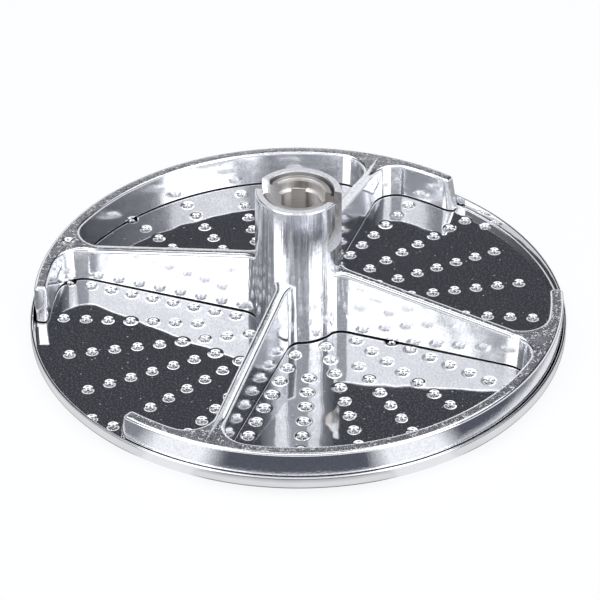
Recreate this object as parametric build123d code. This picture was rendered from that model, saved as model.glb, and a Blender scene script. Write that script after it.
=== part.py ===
from build123d import *
import math
import os

# Grating plate, a pan of polished sheet whose flange stands up round the casting
PAN_R = 95.0
SHEET = 1.0
FLANGE_H = 4.0
BEND_R = 0.6

# Pierced nibs, punched down through the sheet so that their crowns point at the food
NIB_MOUTH_R = 2.2
NIB_ROOT_R = 2.0
NIB_LIP_R = 0.95
NIB_H = 2.6
NIB_NOTCH = 0.8
MOUTH_SIDES = 5
CROWN_SIDES = 4

# Nib rows, one every ROW_STEP degrees, each a straight line that passes ROW_OFFSET from the axis
ROW_STEP = 15.0
ROW_OFFSET = 6.4
NIB_PITCH = 8.0
CLOSE_ROW_START = 35.3
LONG_ROW_STARTS = (21.3, 18.7, 24.0)
ROW_MARGIN = 5.5
EDGE_NIB_LAND = 0.2
EDGE_NIB_ANGLE = 59.0

# Casting: rim arcs, spokes and hub tube in one piece
RIM_GAP = 0.3
RIM_H = 12.8
RIM_W = 4.9
RIM_CREST = 1.2
RIM_FOOT = 0.9
ARC_PAST_SPOKE = 19.4
ARC_END_R = 1.6
SPOKE_T = 4.6
SPOKE_ROOT_H = 25.0
SPOKE_BEVEL = 1.0
SPOKE_GAP = 0.7
SPOKE_GAP_LAND = 5.0
JUNCTION_R = 9.5
HUB_R = 15.0
HUB_H = 54.2
HUB_BLEND_R = 4.0
HUB_BITE = 0.5
HUB_FLOOR = 8.0
SPOT_R = 2.0
SPOT_DEPTH = 1.1
SPOT_X = -88.6
SPOT_Y = 0.7

# Drive bush pressed into the hub, with a counterbore and one keyway
BUSH_R = 12.2
BUSH_FIT = 0.05
BUSH_BELOW_MOUTH = 1.0
BUSH_BORE_R = 8.2
BUSH_COUNTER_R = 9.3
BUSH_COUNTER_DEPTH = 4.3
BUSH_BEVEL = 0.8
KEYWAY_W = 5.0
KEYWAY_R = 8.9
KEYWAY_ANGLE = 109.0

# Bayonet slots for the shaft's cross pin, cut through hub and bush on both sides
SLOT_W = 7.0
SLOT_FLOOR = 35.4
HOOK_REACH = 3.8
HOOK_END_H = 4.4
HOOK_CEILING_H = 9.0
SLOT_CORNER_R = 1.5

# Levels: the nib crowns stand on zero
UNDERSIDE = NIB_H
FLOOR = UNDERSIDE + SHEET
RIM_TOP = FLOOR + RIM_H
HUB_TOP = FLOOR + HUB_H
RIM_R = PAN_R - SHEET - RIM_GAP
RIM_INNER_R = RIM_R - RIM_W
SPOKE_RUN = math.sqrt((RIM_INNER_R - JUNCTION_R) ** 2 - (SPOKE_T / 2 + JUNCTION_R) ** 2)
COLLAR_R = HUB_R + HUB_BLEND_R
COLLAR_TOP = RIM_TOP + (SPOKE_ROOT_H - RIM_H) * (SPOKE_RUN - COLLAR_R) / (SPOKE_RUN - HUB_R)


def polar(radius, degrees):
    return (radius * math.cos(math.radians(degrees)), radius * math.sin(math.radians(degrees)))


def nib_centres():
    starts = (LONG_ROW_STARTS[0], CLOSE_ROW_START, LONG_ROW_STARTS[1],
              CLOSE_ROW_START, LONG_ROW_STARTS[2], CLOSE_ROW_START)
    row_end = math.sqrt((PAN_R - ROW_MARGIN) ** 2 - ROW_OFFSET ** 2)
    edge_r = PAN_R - SHEET - BEND_R - NIB_MOUTH_R - EDGE_NIB_LAND
    centres = []
    for row in range(round(360 / ROW_STEP)):
        along = polar(1.0, row * ROW_STEP)
        start = starts[row % len(starts)]
        for step in range(int((row_end - start) / NIB_PITCH) + 1):
            run = start + step * NIB_PITCH
            x = run * along[0] - ROW_OFFSET * along[1]
            y = run * along[1] + ROW_OFFSET * along[0]
            centres.append((x, y, row * ROW_STEP))
    for quarter in range(4):
        turn = EDGE_NIB_ANGLE + 90 * quarter
        centres.append((*polar(edge_r, turn), turn))
    return centres


def nib_ring(x, y, turn, radius, sides, heights):
    ring = []
    for side in range(sides):
        dx, dy = polar(radius, turn + side * 360 / sides)
        ring.append(Vector(x + dx, y + dy, heights[side % len(heights)]))
    return ring


def crater_wall(upper, lower):
    wall = []
    above = 0
    below = 0
    while above + below < len(upper) + len(lower):
        corners = [upper[above % len(upper)], lower[below % len(lower)]]
        if above / len(upper) <= below / len(lower):
            above += 1
            corners.append(upper[above % len(upper)])
        else:
            below += 1
            corners.append(lower[below % len(lower)])
        wall.append(Face(Wire.make_polygon(corners)))
    return wall


def make_grating_plate():
    outer_bend = BEND_R + SHEET
    inner_r = PAN_R - SHEET
    flange_top = FLOOR + FLANGE_H
    section = Polyline(
        (0, UNDERSIDE),
        (PAN_R - outer_bend, UNDERSIDE),
        (PAN_R, UNDERSIDE + outer_bend),
        (PAN_R, flange_top),
        (inner_r, flange_top),
        (inner_r, FLOOR + BEND_R),
        (inner_r - BEND_R, FLOOR),
        (0, FLOOR),
        close=True,
    )
    pan = revolve(Plane.XZ * make_face(section), Axis.Z)
    flats = pan.faces().filter_by(Plane.XY).sort_by(Axis.Z)
    under = flats[0]
    floor = flats[1]
    rest = [face for face in pan.faces() if not face.is_same(under) and not face.is_same(floor)]
    mouths = []
    roots = []
    walls = []
    crown = (0.0, NIB_NOTCH)
    for x, y, turn in nib_centres():
        mouth = nib_ring(x, y, turn, NIB_MOUTH_R, MOUTH_SIDES, (FLOOR,))
        root = nib_ring(x, y, turn, NIB_ROOT_R, CROWN_SIDES, (UNDERSIDE,))
        lip = nib_ring(x, y, turn, NIB_LIP_R, CROWN_SIDES, crown)
        mouths.append(Wire.make_polygon(mouth))
        roots.append(Wire.make_polygon(root))
        walls += crater_wall(mouth, lip) + crater_wall(root, lip)
    pierced = [floor.make_holes(mouths), under.make_holes(roots)]
    return Solid(Shell(rest + pierced + walls))


def slot_cutter():
    half = SLOT_W / 2
    floor = FLOOR + SLOT_FLOOR
    reach = half + HOOK_REACH
    outline = Polyline(
        (half, floor),
        (half, HUB_TOP + HUB_R),
        (-half, HUB_TOP + HUB_R),
        (-half, floor + HOOK_CEILING_H),
        (-reach, floor + HOOK_END_H),
        (-reach, floor),
        close=True,
    )
    sketch = make_face(outline)
    hook_corner = sketch.vertices().sort_by_distance((-reach, floor))[0]
    sketch = fillet(hook_corner, SLOT_CORNER_R)
    one = extrude(Plane.YZ * sketch, HUB_R * 2)
    return one + Rot(0, 0, 180) * one


def window_plan(open_rim):
    far = 2 * PAN_R
    quarter = Pos(SPOKE_T / 2, SPOKE_T / 2) * Rectangle(far, far, align=(Align.MIN, Align.MIN))
    plan = (quarter & Circle(RIM_INNER_R)) - Circle(HUB_R - HUB_BITE)
    corners = plan.vertices().sort_by(lambda v: math.hypot(v.X, v.Y))
    plan = fillet(corners[-2:], JUNCTION_R)
    corners = plan.vertices().sort_by(lambda v: math.hypot(v.X, v.Y))
    plan = fillet(corners[:2], HUB_BLEND_R)
    if open_rim:
        turns = (ARC_PAST_SPOKE, 90 - ARC_PAST_SPOKE)
        near = [polar(RIM_INNER_R / 2, turn) for turn in turns]
        beyond = [polar(far, turn) for turn in reversed(turns)]
        plan += make_face(Polyline(*near, *beyond, close=True))
        ends = [plan.vertices().sort_by_distance(polar(RIM_INNER_R, turn))[0] for turn in turns]
        plan = fillet(ends, ARC_END_R)
    return plan


def casting_plan(outer_r):
    plan = Circle(outer_r)
    for quarter in range(4):
        plan -= Rot(0, 0, 90 * quarter) * window_plan(quarter % 2 == 0)
    return plan


def rim_turning():
    section = Polyline(
        (0, FLOOR),
        (RIM_R - RIM_FOOT, FLOOR),
        (RIM_R, FLOOR + RIM_FOOT),
        (RIM_R, RIM_TOP - RIM_CREST),
        (RIM_R - RIM_CREST, RIM_TOP),
        (0, RIM_TOP),
        close=True,
    )
    return revolve(Plane.XZ * make_face(section), Axis.Z)


def spoke_crest():
    side = Polyline(
        (0, RIM_TOP),
        (SPOKE_RUN, RIM_TOP),
        (HUB_R, FLOOR + SPOKE_ROOT_H),
        (0, FLOOR + SPOKE_ROOT_H),
        close=True,
    )
    web = extrude(Plane.XZ * make_face(side), SPOKE_T / 2, both=True)
    roof = ((HUB_R + SPOKE_RUN) / 2, 0, (RIM_TOP + FLOOR + SPOKE_ROOT_H) / 2)
    ridge = web.edges().sort_by_distance(roof)[:2]
    return chamfer(ridge, SPOKE_BEVEL)


def make_carrier():
    low = (Align.CENTER, Align.CENTER, Align.MIN)
    body = extrude(Plane.XY.offset(FLOOR) * casting_plan(PAN_R), RIM_H) & rim_turning()
    body += extrude(Plane.XY.offset(RIM_TOP) * casting_plan(COLLAR_R), COLLAR_TOP - RIM_TOP)
    for quarter in range(4):
        body += Rot(0, 0, 90 * quarter) * spoke_crest()
    body += Pos(0, 0, FLOOR) * Cylinder(HUB_R, HUB_H, align=low)
    gap_run = SPOKE_RUN - COLLAR_R - 2 * SPOKE_GAP_LAND
    gap = Box(gap_run, 2 * SPOKE_T, 2 * SPOKE_GAP, align=(Align.MIN, Align.CENTER, Align.CENTER))
    for quarter in range(4):
        body -= Rot(0, 0, 90 * quarter) * Pos(COLLAR_R + SPOKE_GAP_LAND, 0, FLOOR) * gap
    body -= Pos(0, 0, FLOOR + HUB_FLOOR) * Cylinder(BUSH_R + BUSH_FIT, 2 * HUB_H, align=low)
    body -= slot_cutter()
    body -= Pos(SPOT_X, SPOT_Y, RIM_TOP - SPOT_DEPTH) * Cylinder(SPOT_R, 2 * SPOT_DEPTH, align=low)
    return body


def make_hub_bush():
    base = FLOOR + HUB_FLOOR
    top = HUB_TOP - BUSH_BELOW_MOUTH
    section = Polyline(
        (BUSH_BORE_R, base),
        (BUSH_R, base),
        (BUSH_R, top - BUSH_BEVEL),
        (BUSH_R - BUSH_BEVEL, top),
        (BUSH_COUNTER_R, top),
        (BUSH_COUNTER_R, top - BUSH_COUNTER_DEPTH),
        (BUSH_BORE_R, top - BUSH_COUNTER_DEPTH),
        close=True,
    )
    bush = revolve(Plane.XZ * make_face(section), Axis.Z)
    key = Pos(0, 0, base) * Box(KEYWAY_R, KEYWAY_W, HUB_H, align=(Align.MIN, Align.CENTER, Align.MIN))
    bush -= Rot(0, 0, KEYWAY_ANGLE) * key
    return bush - slot_cutter()


os.makedirs("parts", exist_ok=True)
export_step(make_carrier(), "parts/carrier.step")
export_step(make_grating_plate(), "parts/grating_plate.step")
export_step(make_hub_bush(), "parts/hub_bush.step")
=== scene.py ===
import math
import random

import bmesh
import bpy
from mathutils import Matrix, Vector


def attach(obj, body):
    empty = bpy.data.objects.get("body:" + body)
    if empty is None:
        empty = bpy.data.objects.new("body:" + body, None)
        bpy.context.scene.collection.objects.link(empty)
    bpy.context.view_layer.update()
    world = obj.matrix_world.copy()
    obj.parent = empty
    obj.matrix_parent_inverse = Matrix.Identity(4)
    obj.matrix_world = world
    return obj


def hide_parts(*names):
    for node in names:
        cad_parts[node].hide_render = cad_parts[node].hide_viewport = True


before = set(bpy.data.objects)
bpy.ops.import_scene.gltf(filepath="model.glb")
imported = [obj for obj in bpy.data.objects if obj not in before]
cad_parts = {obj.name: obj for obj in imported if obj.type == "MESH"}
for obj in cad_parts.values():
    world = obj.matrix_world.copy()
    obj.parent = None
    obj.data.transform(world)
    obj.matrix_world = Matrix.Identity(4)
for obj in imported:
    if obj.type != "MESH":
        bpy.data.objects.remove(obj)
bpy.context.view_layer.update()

MM = 0.001

# Sizes of the CAD part that the looks follow, in millimetres
PAN_R = 95.0
SHEET = 1.0
FLANGE_H = 4.0
BEND_R = 0.6
UNDERSIDE = 2.6
ROW_STEP = 15.0
ROW_OFFSET = 6.4
NIB_PITCH = 8.0
CLOSE_ROW_START = 35.3
LONG_ROW_STARTS = (21.3, 18.7, 24.0)
ROW_MARGIN = 5.5
EDGE_NIB_R = 90.9
EDGE_NIB_ANGLE = 59.0
RIM_GAP = 0.3
RIM_H = 12.8
RIM_W = 4.9
ARC_PAST_SPOKE = 19.4
SPOKE_HALF = 2.3
SPOKE_ROOT_H = 25.0
JUNCTION_R = 9.5
HUB_R = 15.0
HUB_H = 54.2
HUB_BITE = 0.5
HUB_FLOOR_H = 8.0
SPOT_X = -88.6
SPOT_Y = 0.7
BUSH_R = 12.2
BUSH_FIT = 0.05
BUSH_BELOW_MOUTH = 1.0
BUSH_BORE_R = 8.2
BUSH_COUNTER_R = 9.3
BUSH_COUNTER_DEPTH = 4.3
KEYWAY_HALF = 2.5
KEYWAY_R = 8.9
KEYWAY_ANGLE = 109.0
SLOT_HALF = 3.5
SLOT_FLOOR_H = 35.4
SLOT_CORNER_R = 1.5
HOOK_REACH = 3.8
HOOK_END_H = 4.4
HOOK_CEILING_H = 9.0

FLOOR = UNDERSIDE + SHEET
RIM_TOP = FLOOR + RIM_H
RIM_R = PAN_R - SHEET - RIM_GAP
RIM_INNER_R = RIM_R - RIM_W
HUB_TOP = FLOOR + HUB_H
HUB_FLOOR = FLOOR + HUB_FLOOR_H
HUB_BORE_R = BUSH_R + BUSH_FIT
SLOT_FLOOR = FLOOR + SLOT_FLOOR_H
BUSH_TOP = HUB_TOP - BUSH_BELOW_MOUTH
BUSH_COUNTER_Z = BUSH_TOP - BUSH_COUNTER_DEPTH

# Looks of the casting: draft, rounded crests and feet, the gap over the plate, and the rim arcs' ends
FOOT_GROW = 0.45
TOP_SHRINK = 0.15
CREST_R = 1.6
RIM_CREST_WIDE = 1.25
RIM_CREST_HIGH = 1.05
RIM_EDGE_WIDE = 1.15
RIM_EDGE_HIGH = 0.9
FOOT_R = 0.3
RIM_FOOT_R = 0.75
RIM_SEAM = 0.4
SPOKE_SEAM = 0.55
SEAM_EASE = 55.0
SEAM_DEPTH = 1.4
END_INNER_R = 1.6
END_OUTER_R = 1.6
END_LEAN = 2.9
SLOPE_REACH = 1.0

# Looks of the hub: a wide blend at the spokes, a rolled foot and a little draft; each foot point is out, up
HUB_BLEND_R = 7.0
HUB_SEAM_DEPTH = 1.2
HUB_FOOT_ROLL = ((0.0, 0.0), (0.2, 0.06), (0.28, 0.25))
HUB_MIDDLE_GROW = 0.15
HUB_MIDDLE_Z = 30.0
HUB_EDGE_R = 0.7
HUB_BORE_EDGE_R = 0.4
HUB_CORE_R = HUB_BORE_R + 0.5
HUB_CORE_POINTS = 64

# Looks of the drilled spot: radius and height against the rim's top, from the middle out over the lip
SPOT_DISH = ((0, -0.95), (0.4, -0.92), (1.4, -0.6), (1.7, -0.29), (2.75, 0.05), (2.75, 1), (0, 1))
SPOT_POINTS = 32

# Looks of the bush: a bevelled top and fine teeth round its mouth
BUSH_BEVEL_WIDE = 1.1
BUSH_BEVEL_HIGH = 1.0
BUSH_EDGE = 0.3
TOOTH_LENGTH = 1.1
TOOTH_RUN_OUT = 0.1
TOOTH_DEPTH = 0.14

# Looks of the plate's flange: a rounded brim, and rows that keep the shading of its wall even
BRIM_R = 0.3
WALL_SUPPORT = 0.2

# Looks of the nibs: a rolled bowl, as radius and slope in degrees, over four torn petals
BOWL_R = 3.1
BOWL_LEAST_R = 2.45
BOWL_PITCH_SHARE = 0.48
BOWL_EDGE_ROOM = 0.05
BOWL_BRIM_SLOPE = 5
BOWL_ROLL = ((2.35, 12), (2.1, 20), (1.8, 30), (1.55, 43), (1.35, 56), (1.2, 64))
PETALS = 4
PETAL_TWIST = 16
PETAL_SHAPE = 0.8
PETAL_REACH = 0.66
PETAL_REACH_VARIES = 0.14
PETAL_FALL = 2.35
PETAL_FALL_VARIES = 0.25
PETAL_SHEET = 0.2
PETAL_INNER_BULGE = 0.05
PETAL_OUTER_BULGE = 0.1
PETAL_OUTER_SAG = 0.15
TEAR_INSET = 0.04
TEAR_FALL = 0.25
TEAR_VARIES = 0.036
CROWN_R = 2.1
CROWN_ROOT = ((2.15, -0.12), (2.45, 0.0))
CHANCE_SEED = 11

# Mesh settings: lengths in millimetres, angles in degrees
STEP = 2.0
ARC_LEAST_STEPS = 6
TURNED_POINTS = 128
PAN_POINTS = 240
NIB_POINTS = 24
SAME_POINT = 1e-4
NEAR = 0.01
WELD_GAP = 0.002
SHARP_ANGLE = 38
CASTING_EDGE = 0.4
BUSH_SOFT_EDGE = 0.15
CUT_PAST = 9.0
SLOT_CUT_DEPTH = 20.0
KEY_CUT_LENGTH = 60.0
KEY_CUT_BELOW = 1.0

# Where masks in the materials start and end, in millimetres
HUB_MASK_R = HUB_R + 0.6
OUTER_MASK_R = RIM_R - 1.2
MOUTH_MASK_Z = SLOT_FLOOR - 4.0
# Painted shade in the groove round the bush's top
GROOVE_SHADE_Z = BUSH_TOP - 1.2
GROOVE_SHADE_R = (BUSH_R - 1.2, BUSH_R - 0.8)
DULL_MASK_Z = BUSH_COUNTER_Z - 0.4
DULL_MASK_R = BUSH_BORE_R + 0.25

# Stage: lengths in metres, angles in degrees
GROUND_ROWS = ((1.2, 0), (1.4, 0.02), (1.52, 0.08), (1.58, 0.18), (1.6, 0.32), (1.6, 0.8))
GROUND_DROP = 0.00002
GROUND_POINTS = 96
GROUND_GLOW = 0.9
# Painted light and shadow on the ground that only metal sees: a bright ring round the plate with shadow
# under it, two pools of light, fainter light round the back, and white far off
PAINTED_NEAR_ZONE = ((0.0945, 0.0), (0.0955, 0.85), (0.1045, 0.85), (0.1052, 0.0))
FAR_ZONE = ((0.2, 0.0), (0.5, 1.0))
PAINTED_LIGHT_POOLS = ((-18, -1, 0.18), (38, 57, 0.0))
POOL_EDGE = 2.88
PAINTED_SIDE_GLOW = ((75.6, 0.0), (93.6, 0.35))
SOFTBOX_DISTANCE = 1.3
CEILING_HEIGHT = 1.2
CEILING_GLOW = 1.4
SKY_AZIMUTH = 10
SKY_ELEVATION = 30
VIEW_TURN = 19.3
VIEW_ELEVATION = 36.0
VIEW_DISTANCE = 0.9518
VIEW_LENS = 160.3
VIEW_SENSOR = 36
VIEW_SHIFT = (0.0028, 0.0294)

JUNCTION_Y = SPOKE_HALF + JUNCTION_R
JUNCTION_X = math.sqrt((RIM_INNER_R - JUNCTION_R) ** 2 - JUNCTION_Y ** 2)
JUNCTION_TURN = math.degrees(math.atan2(JUNCTION_Y, JUNCTION_X))
BLEND_Y = SPOKE_HALF + HUB_BLEND_R
BLEND_X = math.sqrt((HUB_R - HUB_BITE + HUB_BLEND_R) ** 2 - BLEND_Y ** 2)
BLEND_TURN = math.degrees(math.atan2(BLEND_Y, BLEND_X))
ROOF_SLOPE = (SPOKE_ROOT_H - RIM_H) / (JUNCTION_X - HUB_R)


def polar(radius, degrees):
    return radius * math.cos(math.radians(degrees)), radius * math.sin(math.radians(degrees))


def share(value, start, end):
    """How far a value is from start to end, from 0 to 1."""
    return min(1.0, max(0.0, (value - start) / (end - start)))


# Outlines in plan: each point is x, y and the direction from metal to air


def arc(cx, cy, radius, start, end, sign):
    count = max(ARC_LEAST_STEPS, math.ceil(abs(math.radians(end - start)) * radius / STEP))
    points = []
    for i in range(count + 1):
        dx, dy = polar(1, start + (end - start) * i / count)
        points.append((cx + radius * dx, cy + radius * dy, sign * dx, sign * dy))
    return points


def line(x0, y0, x1, y1, nx, ny):
    count = max(1, math.ceil(math.hypot(x1 - x0, y1 - y0) / STEP))
    return [(x0 + (x1 - x0) * i / count, y0 + (y1 - y0) * i / count, nx, ny) for i in range(count + 1)]


def turned(points, degrees):
    c, s = polar(1, degrees)
    return [(c * x - s * y, s * x + c * y, c * nx - s * ny, s * nx + c * ny) for x, y, nx, ny in points]


def mirrored(points):
    return [(y, x, ny, nx) for x, y, nx, ny in reversed(points)]


def apart(first, second):
    return math.hypot(first[0] - second[0], first[1] - second[1])


def joined(*pieces):
    loop = []
    for piece in pieces:
        for point in piece:
            if not loop or apart(point, loop[-1]) > SAME_POINT:
                loop.append(point)
    if apart(loop[0], loop[-1]) < SAME_POINT:
        loop.pop()
    return loop


def window_side():
    """From the hub's middle out along the +X spoke and round its corner at the rim."""
    return joined(
        arc(0, 0, HUB_R - HUB_BITE, 45, BLEND_TURN, 1),
        arc(BLEND_X, BLEND_Y, HUB_BLEND_R, 180 + BLEND_TURN, 270, -1),
        line(BLEND_X, SPOKE_HALF, JUNCTION_X, SPOKE_HALF, 0, 1),
        arc(JUNCTION_X, JUNCTION_Y, JUNCTION_R, -90, JUNCTION_TURN, -1),
    )


def rim_end():
    """The short stretch of rim past the +X spoke and its rounded end, up to the outer wall."""
    end = ARC_PAST_SPOKE
    inner_c = RIM_INNER_R + END_INNER_R
    inner_turn = end - math.degrees(math.asin(END_INNER_R / inner_c))
    outer_c = RIM_R - END_OUTER_R
    outer_turn = end - math.degrees(math.asin(END_OUTER_R / outer_c))
    near = math.sqrt(inner_c ** 2 - END_INNER_R ** 2)
    far = math.sqrt(outer_c ** 2 - END_OUTER_R ** 2)
    tail = joined(
        arc(0, 0, RIM_INNER_R, JUNCTION_TURN, inner_turn, -1),
        arc(*polar(inner_c, inner_turn), END_INNER_R, 180 + inner_turn, end + 90, 1),
        line(*polar(near, end), *polar(far, end), *polar(1, end + 90)),
        arc(*polar(outer_c, outer_turn), END_OUTER_R, end + 90, outer_turn, 1),
    )
    return tail, outer_turn


def outlines():
    """The frame's outer outline with its two open windows, then the two closed windows."""
    side = window_side()
    closed = joined(mirrored(side), side, arc(0, 0, RIM_INNER_R, JUNCTION_TURN, 90 - JUNCTION_TURN, -1))
    tail, outer_turn = rim_end()
    half = joined(mirrored(tail), mirrored(side), side, tail,
                  arc(0, 0, RIM_R, outer_turn, -90 - outer_turn, 1))
    return [joined(half, turned(half, 180)), turned(closed, 90), turned(closed, 270)]


def roof(x, y):
    """Height of the casting's top: level along the rim, rising along the spokes to the hub."""
    if min(abs(x), abs(y)) > JUNCTION_Y + SLOPE_REACH:
        return RIM_TOP
    return RIM_TOP + max(0.0, JUNCTION_X - max(abs(x), abs(y))) * ROOF_SLOPE


def seam(x, y):
    """Height of the dark gap between the plate and the casting's edge, least under the rim."""
    ease = share(math.hypot(x, y), JUNCTION_X, JUNCTION_X - SEAM_EASE)
    return RIM_SEAM + (SPOKE_SEAM - RIM_SEAM) * ease


def wall_rows(point):
    """One column of the casting's wall, from its rounded foot up over its rounded crest."""
    x, y, nx, ny = point
    reach = math.hypot(x, y)
    out = share(reach, RIM_INNER_R, RIM_R)
    rim = share(reach, JUNCTION_X, RIM_INNER_R)
    foot = FOOT_R + (RIM_FOOT_R - FOOT_R) * out
    wide = CREST_R + (RIM_EDGE_WIDE - CREST_R) * rim
    high = CREST_R + (RIM_EDGE_HIGH - CREST_R) * rim
    wide += (RIM_CREST_WIDE - wide) * out
    high += (RIM_CREST_HIGH - high) * out
    low = FOOT_GROW * (1 - out)
    top = roof(x, y)
    base = FLOOR + seam(x, y)
    profile = [(low - SEAM_DEPTH, FLOOR), (low - SEAM_DEPTH, base)]
    for a in (0, 30, 60, 90):
        c, s = polar(foot, a)
        profile.append((low - foot + s, base + foot - c))
    profile.append(((low - TOP_SHRINK) / 2, (base + foot + top - high) / 2))
    for a in (0, 18, 36, 54, 72, 90):
        c, s = polar(1, a)
        profile.append((-TOP_SHRINK - wide + wide * c, top - high + high * s))
    lean = 0.0
    if reach > RIM_INNER_R - NEAR:
        lean = END_LEAN * (ny * x - nx * y) / reach / (top - FLOOR)
    slide = [lean * (top - z) / reach for _, z in profile]
    return [(x + nx * g - y * s, y + ny * g + x * s, z) for (g, z), s in zip(profile, slide)]


# Mesh helpers


def new_object(name, bm):
    bmesh.ops.recalc_face_normals(bm, faces=bm.faces)
    mesh = bpy.data.meshes.new(name)
    bm.to_mesh(mesh)
    bm.free()
    obj = bpy.data.objects.new(name, mesh)
    bpy.context.scene.collection.objects.link(obj)
    return obj


def vert(bm, x, y, z):
    return bm.verts.new((x * MM, y * MM, z * MM))


def band(bm, lower, upper, smooth=True):
    for i in range(len(lower)):
        j = (i + 1) % len(lower)
        face = bm.faces.new((lower[i], upper[i], upper[j], lower[j]))
        face.smooth = smooth


def bands(bm, rows):
    for lower, upper in zip(rows, rows[1:]):
        band(bm, lower, upper)


def ring_edges(bm, ring):
    edges = []
    for i in range(len(ring)):
        pair = (ring[i], ring[(i + 1) % len(ring)])
        edges.append(bm.edges.get(pair) or bm.edges.new(pair))
    return edges


def fill(bm, rings, smooth):
    edges = [e for ring in rings for e in ring_edges(bm, ring)]
    made = bmesh.ops.triangle_fill(bm, use_beauty=True, edges=edges)
    for item in made["geom"]:
        if isinstance(item, bmesh.types.BMFace):
            item.smooth = smooth


def circle(bm, radius, z, count):
    return [vert(bm, *polar(radius, 360 * i / count), z) for i in range(count)]


def bead(radius, z, size, start, end, steps):
    """Points along a round edge, as radius and height, about a centre at the given radius and height."""
    points = []
    for i in range(steps + 1):
        c, s = polar(size, start + (end - start) * i / steps)
        points.append((radius + c, z + s))
    return points


def revolved(name, profile, count):
    """A closed ring or solid turned about the hub axis; a profile point on the axis closes it."""
    bm = bmesh.new()
    rows = []
    for radius, z in profile:
        rows.append([vert(bm, 0, 0, z)] if radius == 0 else circle(bm, radius, z, count))
    if profile[0][0] > 0:
        rows.append(rows[0])
    for lower, upper in zip(rows, rows[1:]):
        if len(lower) == 1 or len(upper) == 1:
            tip, ring = (lower[0], upper) if len(lower) == 1 else (upper[0], lower)
            for i in range(count):
                bm.faces.new((tip, ring[i], ring[(i + 1) % count])).smooth = True
        else:
            band(bm, lower, upper)
    return new_object(name, bm)


def prism(name, outline, place):
    """A flat outline pushed through; place turns outline point and depth into x, y, z."""
    bm = bmesh.new()
    near = [vert(bm, *place(a, b, 0)) for a, b in outline]
    far = [vert(bm, *place(a, b, 1)) for a, b in outline]
    band(bm, near, far, False)
    bm.faces.new(near)
    bm.faces.new(far)
    return new_object(name, bm)


def carve(obj, tool, operation):
    """Joins the tool to the object or cuts it out, and removes the tool."""
    step = obj.modifiers.new("cut", "BOOLEAN")
    step.operation = operation
    step.solver = "EXACT"
    step.object = tool
    bpy.context.view_layer.update()
    mesh = bpy.data.meshes.new_from_object(obj.evaluated_get(bpy.context.evaluated_depsgraph_get()))
    old = obj.data
    obj.modifiers.clear()
    obj.data = mesh
    bpy.data.meshes.remove(old)
    bpy.data.objects.remove(tool)


def soften(obj, width):
    """Bevels the sharp edges of the slotted mouth and smooths the shading of all blunter ones."""
    mesh = obj.data
    sharp = math.radians(SHARP_ANGLE)
    lowest = (SLOT_FLOOR - 1) * MM
    for polygon in mesh.polygons:
        polygon.use_smooth = True
    mesh.set_sharp_from_angle(angle=sharp)
    bm = bmesh.new()
    bm.from_mesh(mesh)
    weight = bm.edges.layers.float.new("bevel_weight_edge")
    for edge in bm.edges:
        at_mouth = min(v.co.z for v in edge.verts) > lowest
        if at_mouth and len(edge.link_faces) == 2 and edge.calc_face_angle() > sharp:
            edge[weight] = 1.0
    bm.to_mesh(mesh)
    bm.free()
    bevel = obj.modifiers.new("soft_edges", "BEVEL")
    bevel.limit_method = "WEIGHT"
    bevel.width = width * MM
    bevel.segments = 3
    bevel.use_clamp_overlap = True
    weld = obj.modifiers.new("weld", "WELD")
    weld.merge_threshold = WELD_GAP * MM
    normals = obj.modifiers.new("even_normals", "WEIGHTED_NORMAL")
    normals.keep_sharp = True


# The casting: a spoked frame lofted from its outlines, joined to a turned hub


def slot_cutter(side):
    hook = SLOT_HALF + HOOK_REACH
    outline = [(SLOT_HALF, SLOT_FLOOR), (SLOT_HALF, HUB_TOP + CUT_PAST), (-SLOT_HALF, HUB_TOP + CUT_PAST),
               (-SLOT_HALF, SLOT_FLOOR + HOOK_CEILING_H), (-hook, SLOT_FLOOR + HOOK_END_H)]
    outline += bead(-hook + SLOT_CORNER_R, SLOT_FLOOR + SLOT_CORNER_R, SLOT_CORNER_R, 180, 270, 3)
    return prism("cutter", outline, lambda a, b, t: (side * t * SLOT_CUT_DEPTH, side * a, b))


def key_cutter():
    c, s = polar(1, KEYWAY_ANGLE)
    start = HUB_FLOOR - KEY_CUT_BELOW
    outline = [(0, -KEYWAY_HALF), (KEYWAY_R, -KEYWAY_HALF), (KEYWAY_R, KEYWAY_HALF), (0, KEYWAY_HALF)]
    return prism("cutter", outline,
                 lambda a, b, t: (a * c - b * s, a * s + b * c, start + t * KEY_CUT_LENGTH))


def build_frame():
    """The rim arcs and spokes, with a round opening where the hub goes."""
    bm = bmesh.new()
    feet = []
    tops = []
    for outline in outlines():
        columns = [[vert(bm, *p) for p in wall_rows(point)] for point in outline]
        rows = list(zip(*columns))
        bands(bm, rows)
        feet.append(rows[0])
        tops.append(rows[-1])
    core = [polar(HUB_CORE_R, 360 * i / HUB_CORE_POINTS) for i in range(HUB_CORE_POINTS)]
    low = [vert(bm, x, y, FLOOR) for x, y in core]
    high = [vert(bm, x, y, roof(x, y)) for x, y in core]
    band(bm, low, high)
    fill(bm, feet + [low], True)
    fill(bm, tops + [high], True)
    return new_object("casting", bm)


def build_hub():
    base = FLOOR + SPOKE_SEAM
    inner = HUB_R - HUB_SEAM_DEPTH
    profile = [(0, FLOOR), (inner, FLOOR), (inner, base)]
    profile += [(HUB_R + out, base + up) for out, up in HUB_FOOT_ROLL]
    profile.append((HUB_R + HUB_MIDDLE_GROW, HUB_MIDDLE_Z))
    profile += bead(HUB_R - HUB_EDGE_R, HUB_TOP - HUB_EDGE_R, HUB_EDGE_R, 0, 90, 3)
    profile += bead(HUB_BORE_R + HUB_BORE_EDGE_R, HUB_TOP - HUB_BORE_EDGE_R, HUB_BORE_EDGE_R, 90, 180, 2)
    profile += [(HUB_BORE_R, HUB_FLOOR), (0, HUB_FLOOR)]
    return revolved("hub", profile, TURNED_POINTS)


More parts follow.
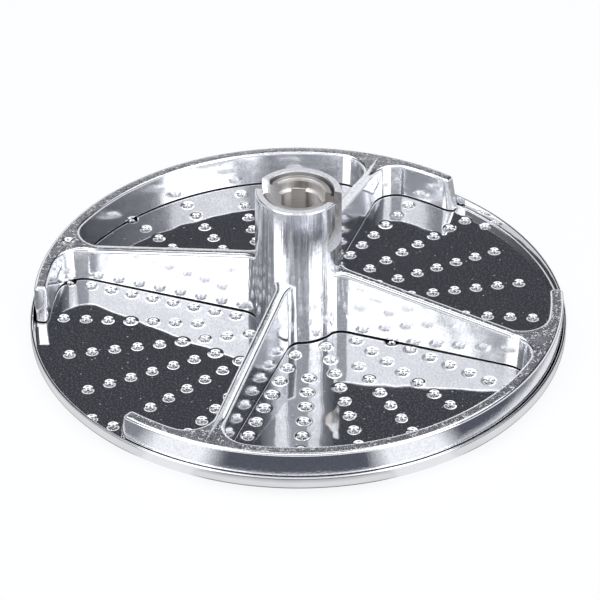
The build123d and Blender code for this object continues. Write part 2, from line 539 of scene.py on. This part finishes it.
def build_casting():
    casting = build_frame()
    carve(casting, build_hub(), "UNION")
    for side in (1, -1):
        carve(casting, slot_cutter(side), "DIFFERENCE")
    spot = revolved("spot", [(radius, RIM_TOP + z) for radius, z in SPOT_DISH], SPOT_POINTS)
    spot.data.transform(Matrix.Translation((SPOT_X * MM, SPOT_Y * MM, 0)))
    carve(casting, spot, "DIFFERENCE")
    return casting


def build_bush():
    shoulder = BUSH_TOP - BUSH_BEVEL_HIGH
    teeth_end = BUSH_TOP - TOOTH_LENGTH
    bush = revolved("bush", [
        (BUSH_BORE_R, HUB_FLOOR), (BUSH_R, HUB_FLOOR),
        (BUSH_R, shoulder), (BUSH_R - BUSH_EDGE, shoulder + BUSH_EDGE), (BUSH_R - BUSH_BEVEL_WIDE, BUSH_TOP),
        (BUSH_COUNTER_R + BUSH_EDGE, BUSH_TOP), (BUSH_COUNTER_R, BUSH_TOP - BUSH_EDGE),
        (BUSH_COUNTER_R, teeth_end), (BUSH_COUNTER_R, teeth_end - TOOTH_RUN_OUT),
        (BUSH_COUNTER_R, BUSH_COUNTER_Z), (BUSH_BORE_R + BUSH_EDGE, BUSH_COUNTER_Z),
        (BUSH_BORE_R, BUSH_COUNTER_Z - BUSH_EDGE)], TURNED_POINTS)
    for corner in bush.data.vertices:
        x, y, z = corner.co / MM
        tooth = round(math.degrees(math.atan2(y, x)) * TURNED_POINTS / 360) % 2
        if tooth and abs(math.hypot(x, y) - BUSH_COUNTER_R) < NEAR and z > teeth_end - NEAR:
            corner.co.xy *= 1 + TOOTH_DEPTH / BUSH_COUNTER_R
    for cutter in (slot_cutter(1), slot_cutter(-1), key_cutter()):
        carve(bush, cutter, "DIFFERENCE")
    return bush


# The plate: a mirror sheet with rolled craters, torn through into four petals


def nib_centres():
    """Straight rows that pass the hub axis at one side, and one nib near the edge in each quarter."""
    row_end = math.sqrt((PAN_R - ROW_MARGIN) ** 2 - ROW_OFFSET ** 2)
    centres = []
    for row in range(round(360 / ROW_STEP)):
        turn = ROW_STEP * row
        cx, cy = polar(1, turn)
        start = CLOSE_ROW_START if row % 2 else LONG_ROW_STARTS[row // 2 % len(LONG_ROW_STARTS)]
        for step in range(int((row_end - start) / NIB_PITCH) + 1):
            run = start + NIB_PITCH * step
            centres.append((run * cx - ROW_OFFSET * cy, run * cy + ROW_OFFSET * cx, turn))
    for quarter in range(4):
        turn = EDGE_NIB_ANGLE + 90 * quarter
        centres.append((*polar(EDGE_NIB_R, turn), turn))
    return centres


def bowl_profile(bowl_r):
    """Radius and height down the bowl, which steepens toward the hole."""
    bowl = [(bowl_r, FLOOR)]
    last_slope = 0
    brim = ((bowl_r + BOWL_ROLL[0][0]) / 2, BOWL_BRIM_SLOPE)
    for radius, slope in (brim, *BOWL_ROLL):
        run = bowl[-1][0] - radius
        fall = run * math.tan(math.radians((slope + last_slope) / 2))
        bowl.append((radius, bowl[-1][1] - fall))
        last_slope = slope
    return bowl


def nib(bm, x, y, turn, bowl_r, chance):
    """A rolled bowl that steepens to a torn hole, with four bent petals under it."""
    quarter = 360 / PETALS
    twist = turn + quarter / 2 + chance.uniform(-PETAL_TWIST, PETAL_TWIST)
    fall = PETAL_FALL - chance.uniform(0.0, PETAL_FALL_VARIES)
    reach = [PETAL_REACH + chance.uniform(-PETAL_REACH_VARIES, PETAL_REACH_VARIES) for _ in range(PETALS)]
    tear = [chance.uniform(-TEAR_VARIES, TEAR_VARIES) for _ in range(PETALS)]
    bowl = bowl_profile(bowl_r)
    neck_r, neck_z = bowl[-1]
    columns = []
    for i in range(NIB_POINTS):
        a = 360 * i / NIB_POINTS
        petal = abs(math.cos(math.radians(a * PETALS / 2))) ** PETAL_SHAPE
        side = int((a + quarter / 2) % 360 // quarter)
        lip_r = neck_r - TEAR_INSET + tear[int(a // quarter)] * (1 - petal) - reach[side] * petal
        lip_z = neck_z - TEAR_FALL - fall * petal
        profile = bowl + [
            ((neck_r + lip_r) / 2 + PETAL_INNER_BULGE * petal, (neck_z + lip_z) / 2),
            (lip_r, lip_z),
            (lip_r + PETAL_SHEET, lip_z),
            ((CROWN_R + lip_r) / 2 + PETAL_OUTER_BULGE, (UNDERSIDE + lip_z) / 2 - PETAL_OUTER_SAG * petal)]
        profile += [(radius, UNDERSIDE + z) for radius, z in CROWN_ROOT]
        dx, dy = polar(1, twist + a)
        columns.append([vert(bm, x + r * dx, y + r * dy, z) for r, z in profile])
    rows = list(zip(*columns))
    bands(bm, rows)
    return rows[0], rows[-1]


def pan_profile():
    """Radius and height from the floor's edge up the flange, over its brim and down to the underside."""
    bend = PAN_R - SHEET - BEND_R
    brim = FLOOR + FLANGE_H - BRIM_R
    outer_r = BEND_R + SHEET
    return [
        *bead(bend, FLOOR + BEND_R, BEND_R, -90, 0, 6),
        *bead(PAN_R - SHEET + BRIM_R, brim, BRIM_R, 180, 90, 2),
        *bead(PAN_R - BRIM_R, brim, BRIM_R, 90, 0, 2),
        (PAN_R, brim - WALL_SUPPORT),
        (PAN_R, UNDERSIDE + outer_r + WALL_SUPPORT),
        *bead(bend, UNDERSIDE + outer_r, outer_r, 0, -90, 9)]


def build_plate():
    chance = random.Random(CHANCE_SEED)
    bm = bmesh.new()
    mouths = []
    roots = []
    centres = nib_centres()
    for x, y, turn in centres:
        nearest = min(math.hypot(x - u, y - v) for u, v, _ in centres if (u, v) != (x, y))
        edge = PAN_R - SHEET - BEND_R - math.hypot(x, y)
        room = min(BOWL_R, BOWL_PITCH_SHARE * nearest, edge - BOWL_EDGE_ROOM)
        mouth, root = nib(bm, x, y, turn, max(BOWL_LEAST_R, room), chance)
        mouths.append(mouth)
        roots.append(root)
    rows = [circle(bm, radius, z, PAN_POINTS) for radius, z in pan_profile()]
    bands(bm, rows)
    fill(bm, mouths + [rows[0]], False)
    fill(bm, roots + [rows[-1]], False)
    return new_object("plate", bm)


# Material helpers


def material(name):
    made = bpy.data.materials.new(name)
    made.use_nodes = True
    tree = made.node_tree
    return made, tree, tree.nodes["Principled BSDF"]


def node(tree, kind, **values):
    made = tree.nodes.new(kind)
    for key, value in values.items():
        if key in made.inputs:
            made.inputs[key].default_value = value
        else:
            setattr(made, key, value)
    return made


def ramp(tree, source, stops):
    made = tree.nodes.new("ShaderNodeValToRGB")
    elements = made.color_ramp.elements
    while len(elements) < len(stops):
        elements.new(0.5)
    for element, (place, tone) in zip(elements, stops):
        element.position = place
        element.color = (*tone, 1) if isinstance(tone, tuple) else (tone, tone, tone, 1)
    tree.links.new(source, made.inputs["Fac"])
    return made.outputs["Color"]


def noise(tree, place, scale, detail=3.0, roughness=0.55):
    made = node(tree, "ShaderNodeTexNoise", Scale=scale, Detail=detail, Roughness=roughness)
    tree.links.new(place, made.inputs["Vector"])
    return made.outputs["Fac"]


def stretched_noise(tree, place, scale):
    stretch = node(tree, "ShaderNodeMapping", Scale=scale)
    tree.links.new(place, stretch.inputs["Vector"])
    return noise(tree, stretch.outputs["Vector"], 1.0, 2)


def cells(tree, place, scale):
    made = node(tree, "ShaderNodeTexVoronoi", voronoi_dimensions="2D", Scale=scale)
    tree.links.new(place, made.inputs["Vector"])
    return made.outputs


def maths(tree, operation, first, second, third=None):
    made = node(tree, "ShaderNodeMath", operation=operation)
    for socket, value in zip(made.inputs, (first, second, third)):
        if isinstance(value, (int, float)):
            socket.default_value = value
        elif value is not None:
            tree.links.new(value, socket)
    return made.outputs[0]


def split(tree, vector):
    made = node(tree, "ShaderNodeSeparateXYZ")
    tree.links.new(vector, made.inputs[0])
    return made.outputs


def axis_radius(tree, place, scale=1.0):
    """Distance from the hub axis, times the scale."""
    flat = node(tree, "ShaderNodeVectorMath", operation="MULTIPLY")
    tree.links.new(place, flat.inputs[0])
    flat.inputs[1].default_value = (scale, scale, 0)
    radius = node(tree, "ShaderNodeVectorMath", operation="LENGTH")
    tree.links.new(flat.outputs[0], radius.inputs[0])
    return radius.outputs["Value"]


def bump(tree, height, strength, distance, normal=None):
    made = node(tree, "ShaderNodeBump", Strength=strength, Distance=distance)
    tree.links.new(height, made.inputs["Height"])
    if normal is not None:
        tree.links.new(normal, made.inputs["Normal"])
    return made.outputs["Normal"]


# Materials


def cast_aluminium():
    """Tumbled bright casting: dented top faces, plain walls, a streaked hub and turned mouth faces."""
    made, tree, shader = material("cast_aluminium")
    coords = tree.nodes.new("ShaderNodeTexCoord")
    place = coords.outputs["Object"]
    grain = noise(tree, place, 1250, 1, 0.5)
    broad = noise(tree, place, 160, 3)
    wave = noise(tree, place, 45, 2)
    streak = stretched_noise(tree, place, (1000, 1000, 22))
    radius = axis_radius(tree, place)
    top = ramp(tree, split(tree, coords.outputs["Normal"])["Z"], [(0.965, 0.0), (0.995, 1.0)])
    hub = maths(tree, "LESS_THAN", radius, HUB_MASK_R * MM)
    drawn = maths(tree, "MULTIPLY", hub, maths(tree, "SUBTRACT", 1.0, top))
    high = maths(tree, "GREATER_THAN", split(tree, place)["Z"], MOUTH_MASK_Z * MM)
    cut = maths(tree, "MULTIPLY", top, high)
    outer = maths(tree, "GREATER_THAN", radius, OUTER_MASK_R * MM)
    shader.inputs["Metallic"].default_value = 1.0
    tone = ramp(tree, grain, [(0.3, (0.78, 0.795, 0.83)), (0.5, (0.88, 0.89, 0.925)),
                              (0.7, (0.95, 0.96, 0.985))])
    tree.links.new(tone, shader.inputs["Base Color"])
    rough = maths(tree, "MULTIPLY_ADD", broad, 0.12, maths(tree, "MULTIPLY_ADD", outer, -0.06, 0.08))
    matt = ramp(tree, noise(tree, place, 1900, 1, 0.5), [(0.34, 0.07), (0.68, 0.2)])
    rough = maths(tree, "MULTIPLY_ADD", top, matt, rough)
    rough = maths(tree, "MULTIPLY_ADD", cut, 0.45, rough)
    tree.links.new(rough, shader.inputs["Roughness"])
    tilt = bump(tree, wave, 0.5, 0.0005)
    tilt = bump(tree, maths(tree, "MULTIPLY", streak, drawn), 1.0, 0.00009, tilt)
    speckle = maths(tree, "MULTIPLY_ADD", top, 0.4, maths(tree, "MULTIPLY_ADD", outer, 0.17, 0.03))
    tilt = bump(tree, maths(tree, "MULTIPLY", grain, speckle), 1.0, 0.00012, tilt)
    dents = ramp(tree, noise(tree, place, 950, 1, 0.5), [(0.62, 0.0), (0.7, 1.0)])
    tilt = bump(tree, maths(tree, "MULTIPLY", dents, top), 1.0, 0.00015, tilt)
    tree.links.new(tilt, shader.inputs["Normal"])
    return made


def gap_painted_shade():
    """Painted shade: a dark, dull underside in the gap between casting and plate, where the gap lies in
    shade.
    """
    made, tree, shader = material("gap_painted_shade")
    place = tree.nodes.new("ShaderNodeTexCoord").outputs["Object"]
    # Painted shade: a near-black colour, because the gap lies in shade
    tone = ramp(tree, noise(tree, place, 700, 3), [(0.3, 0.025), (0.7, 0.06)])
    tree.links.new(tone, shader.inputs["Base Color"])
    shader.inputs["Roughness"].default_value = 0.8
    shader.inputs["Specular IOR Level"].default_value = 0.1
    return made


def mirror_steel():
    """Polished sheet, a little wavy, with fine dust and a few brighter motes on its level faces."""
    made, tree, shader = material("mirror_steel")
    coords = tree.nodes.new("ShaderNodeTexCoord")
    place = coords.outputs["Object"]
    level = maths(tree, "GREATER_THAN", split(tree, coords.outputs["Normal"])["Z"], 0.95)
    dust = ramp(tree, cells(tree, place, 900.0)["Distance"], [(0.1, 0.12), (0.3, 0.0)])
    motes = cells(tree, place, 170.0)
    bright = maths(tree, "POWER", split(tree, motes["Color"])["X"], 2.0)
    specks = maths(tree, "MULTIPLY", ramp(tree, motes["Distance"], [(0.03, 1.0), (0.06, 0.0)]), bright)
    specks = maths(tree, "MULTIPLY_ADD", specks, 0.7, dust)
    film = maths(tree, "SUBTRACT", 1.0, maths(tree, "MULTIPLY", specks, level))
    tree.links.new(film, shader.inputs["Metallic"])
    smear = noise(tree, place, 60, 4)
    tone = ramp(tree, smear, [(0.3, (0.77, 0.77, 0.785)), (0.7, (0.82, 0.82, 0.835))])
    tree.links.new(tone, shader.inputs["Base Color"])
    tree.links.new(ramp(tree, smear, [(0.35, 0.03), (0.75, 0.07)]), shader.inputs["Roughness"])
    tree.links.new(bump(tree, noise(tree, place, 85, 1), 1.0, 0.00012), shader.inputs["Normal"])
    return made


def turned_steel():
    """Turned and browned, with painted shade darkening the groove round its top, and dull walls in the
    keyway and slots.
    """
    made, tree, shader = material("turned_steel")
    coords = tree.nodes.new("ShaderNodeTexCoord")
    place = coords.outputs["Object"]
    wall = maths(tree, "LESS_THAN", split(tree, coords.outputs["Normal"])["Z"], 0.5)
    lines = stretched_noise(tree, place, (90, 90, 5000))
    scores = maths(tree, "MULTIPLY", stretched_noise(tree, place, (900, 900, 40)), wall)
    height = split(tree, place)["Z"]
    # The radius as a share of 20 mm, because a ramp reads 0 to 1
    radius_unit = 20 * MM
    radius = axis_radius(tree, place, 1 / radius_unit)
    groove_start, groove_end = (r * MM / radius_unit for r in GROOVE_SHADE_R)
    # Painted shade: the colour darkens in the groove round the top
    groove_shade = maths(tree, "MULTIPLY", maths(tree, "GREATER_THAN", height, GROOVE_SHADE_Z * MM),
                   ramp(tree, radius, [(groove_start, 0.0), (groove_end, 1.0)]))
    tint = node(tree, "ShaderNodeMix", data_type="RGBA", blend_type="MULTIPLY")
    tint.inputs["Factor"].default_value = 1.0
    steel = ramp(tree, lines, [(0.3, (0.8, 0.77, 0.74)), (0.7, (0.96, 0.94, 0.92))])
    tree.links.new(steel, tint.inputs[6])
    tree.links.new(ramp(tree, groove_shade, [(0.0, 1.0), (1.0, (0.3, 0.29, 0.28))]), tint.inputs[7])
    tree.links.new(tint.outputs[2], shader.inputs["Base Color"])
    dull = maths(tree, "MULTIPLY", maths(tree, "LESS_THAN", height, DULL_MASK_Z * MM),
                 maths(tree, "GREATER_THAN", radius, DULL_MASK_R * MM / radius_unit))
    tree.links.new(maths(tree, "MULTIPLY_ADD", dull, -0.45, 1.0), shader.inputs["Metallic"])
    tree.links.new(ramp(tree, scores, [(0.0, 0.4), (0.3, 0.28), (0.7, 0.44)]), shader.inputs["Roughness"])
    tilt = bump(tree, lines, 0.2, 0.00004)
    tree.links.new(bump(tree, scores, 1.0, 0.00006, tilt), shader.inputs["Normal"])
    return made


def circle_share(degrees):
    """An azimuth from -180 to 180 degrees as a place on a ramp."""
    return degrees / 360 + 0.5


def white_ground():
    """White to the camera. Metal sees painted light and shade on it: a bright ring close round the plate
    with painted shadow under the plate, two painted pools of light, fainter painted light round the back,
    dark between, and white far off.
    """
    made, tree, shader = material("white_ground")
    shader.inputs["Base Color"].default_value = (0.11, 0.117, 0.14, 1)
    shader.inputs["Roughness"].default_value = 0.9
    shader.inputs["Specular IOR Level"].default_value = 0.0
    place = tree.nodes.new("ShaderNodeTexCoord").outputs["Object"]
    parts = split(tree, place)
    around = maths(tree, "ARCTAN2", parts["X"], maths(tree, "MULTIPLY", parts["Y"], -1.0))
    turn = maths(tree, "MULTIPLY_ADD", around, 0.5 / math.pi, 0.5)
    stops = []
    for start, end, before in PAINTED_LIGHT_POOLS:
        stops += [(circle_share(start - POOL_EDGE), before), (circle_share(start + POOL_EDGE), 1.0),
                  (circle_share(end - POOL_EDGE), 1.0), (circle_share(end + POOL_EDGE), 0.0)]
    stops += [(circle_share(azimuth), glow) for azimuth, glow in PAINTED_SIDE_GLOW]
    pools = ramp(tree, turn, stops)
    reach = node(tree, "ShaderNodeVectorMath", operation="LENGTH")
    tree.links.new(place, reach.inputs[0])
    near = ramp(tree, reach.outputs["Value"], PAINTED_NEAR_ZONE)
    half_reach = maths(tree, "MULTIPLY", reach.outputs["Value"], 0.5)
    far = ramp(tree, half_reach, [(distance / 2, glow) for distance, glow in FAR_ZONE])
    # The painted light and shadow that metal sees on the ground
    mirror = maths(tree, "MAXIMUM", maths(tree, "MAXIMUM", pools, near), far)
    path = tree.nodes.new("ShaderNodeLightPath").outputs
    seen = maths(tree, "MAXIMUM", path["Is Glossy Ray"], path["Is Transmission Ray"])
    shown = maths(tree, "MAXIMUM", path["Is Camera Ray"], maths(tree, "MULTIPLY", seen, mirror))
    shader.inputs["Emission Color"].default_value = (1, 1, 1, 1)
    tree.links.new(maths(tree, "MULTIPLY", shown, GROUND_GLOW), shader.inputs["Emission Strength"])
    return made


def paint_gap_shade(casting):
    """Gives the faces inside the gap over the plate the second material, a painted shade."""
    corners = casting.data.vertices
    gap_top = (FLOOR + SPOKE_SEAM + NEAR) * MM
    for face in casting.data.polygons:
        faces_down = face.normal.z < -0.9
        upright = abs(face.normal.z) < 0.1
        below = all(corners[v].co.z < gap_top for v in face.vertices)
        if (faces_down and face.center.z < gap_top) or (upright and below):
            face.material_index = 1


# The three pieces
casting = build_casting()
soften(casting, CASTING_EDGE)
casting.data.materials.append(cast_aluminium())
# The second material paints shade into the gap over the plate
casting.data.materials.append(gap_painted_shade())
paint_gap_shade(casting)
plate = build_plate()
plate.data.materials.append(mirror_steel())
bush = build_bush()
soften(bush, BUSH_SOFT_EDGE)
bush.data.materials.append(turned_steel())
for piece, cad, slot in ((casting, "carrier", "casting"), (plate, "grating_plate", "plate"),
                         (bush, "hub_bush", "bush")):
    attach(piece, "root")
    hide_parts(cad)


# Stage: a white floor that curves up into a low backdrop all round, soft lights, a dim world and the camera


def build_ground():
    bm = bmesh.new()
    rings = [circle(bm, radius / MM, (z - GROUND_DROP) / MM, GROUND_POINTS) for radius, z in GROUND_ROWS]
    bm.faces.new(rings[0])
    bands(bm, rings)
    return new_object("ground", bm)


def direction(azimuth, elevation):
    a = math.radians(azimuth)
    e = math.radians(elevation)
    return Vector((math.sin(a) * math.cos(e), -math.cos(a) * math.cos(e), math.sin(e)))


def area_light(name, width, height, radiance):
    data = bpy.data.lights.new(name, "AREA")
    data.shape = "RECTANGLE"
    data.size = width
    data.size_y = height
    data.energy = radiance * math.pi * width * height
    light = bpy.data.objects.new(name, data)
    bpy.context.scene.collection.objects.link(light)
    light.visible_camera = False
    return light


def softbox(name, azimuth, elevation, width, height, radiance):
    light = area_light(name, width, height, radiance)
    away = direction(azimuth, elevation)
    light.location = away * SOFTBOX_DISTANCE
    light.rotation_euler = away.to_track_quat("Z", "Y").to_euler()


def panel(name, back, side, depth, width):
    """Part of a level ceiling light, placed by its distances behind the hub and to the right of it."""
    light = area_light(name, width, depth, CEILING_GLOW)
    light.location = direction(VIEW_TURN + 180, 0) * back + direction(VIEW_TURN + 90, 0) * side
    light.location.z = CEILING_HEIGHT
    light.rotation_euler = (0, 0, math.radians(VIEW_TURN))


def light_world():
    """A dim room that is lighter on the camera's side."""
    world = bpy.data.worlds.new("studio")
    world.use_nodes = True
    bpy.context.scene.world = world
    tree = world.node_tree
    sky = tree.nodes.new("ShaderNodeTexCoord")
    facing = node(tree, "ShaderNodeVectorMath", operation="DOT_PRODUCT")
    facing.inputs[1].default_value = direction(SKY_AZIMUTH, SKY_ELEVATION)
    tree.links.new(sky.outputs["Generated"], facing.inputs[0])
    lift = node(tree, "ShaderNodeMapRange")
    lift.inputs["From Min"].default_value = -1.0
    tree.links.new(facing.outputs["Value"], lift.inputs["Value"])
    tone = ramp(tree, lift.outputs["Result"], [(0.4, (0.06, 0.064, 0.076)), (0.75, (0.25, 0.255, 0.28)),
                                               (1.0, (0.42, 0.43, 0.46))])
    tree.links.new(tone, tree.nodes["Background"].inputs["Color"])


def place_camera():
    """At the photograph's angle."""
    camera = bpy.data.objects.new("camera", bpy.data.cameras.new("camera"))
    bpy.context.scene.collection.objects.link(camera)
    camera.data.lens = VIEW_LENS
    camera.data.sensor_width = VIEW_SENSOR
    camera.data.shift_x, camera.data.shift_y = VIEW_SHIFT
    away = direction(VIEW_TURN, VIEW_ELEVATION)
    camera.location = away * VIEW_DISTANCE + Vector((0, 0, FLOOR * MM))
    camera.rotation_euler = away.to_track_quat("Z", "Y").to_euler()
    bpy.context.scene.camera = camera


ground = build_ground()
ground.data.materials.append(white_ground())

softbox("left", -29, 26, 0.71, 0.47, 2.1)
softbox("left_upper", -29, 49, 0.71, 0.57, 0.6)
softbox("right", 67.8, 26, 0.72, 0.49, 2.2)
softbox("right_upper", 67.8, 49, 0.72, 0.57, 0.55)

# Ceiling light with an open middle, so that the mirror sheet is not white from straight above
panel("top_back", 0.48, 0, 0.48, 1.7)
panel("top_front", -0.54, 0, 0.6, 1.7)
panel("top_left", 0, -0.545, 0.48, 0.61)
panel("top_right", 0, 0.545, 0.48, 0.61)

light_world()
place_camera()
bpy.context.scene.view_settings.view_transform = "Standard"
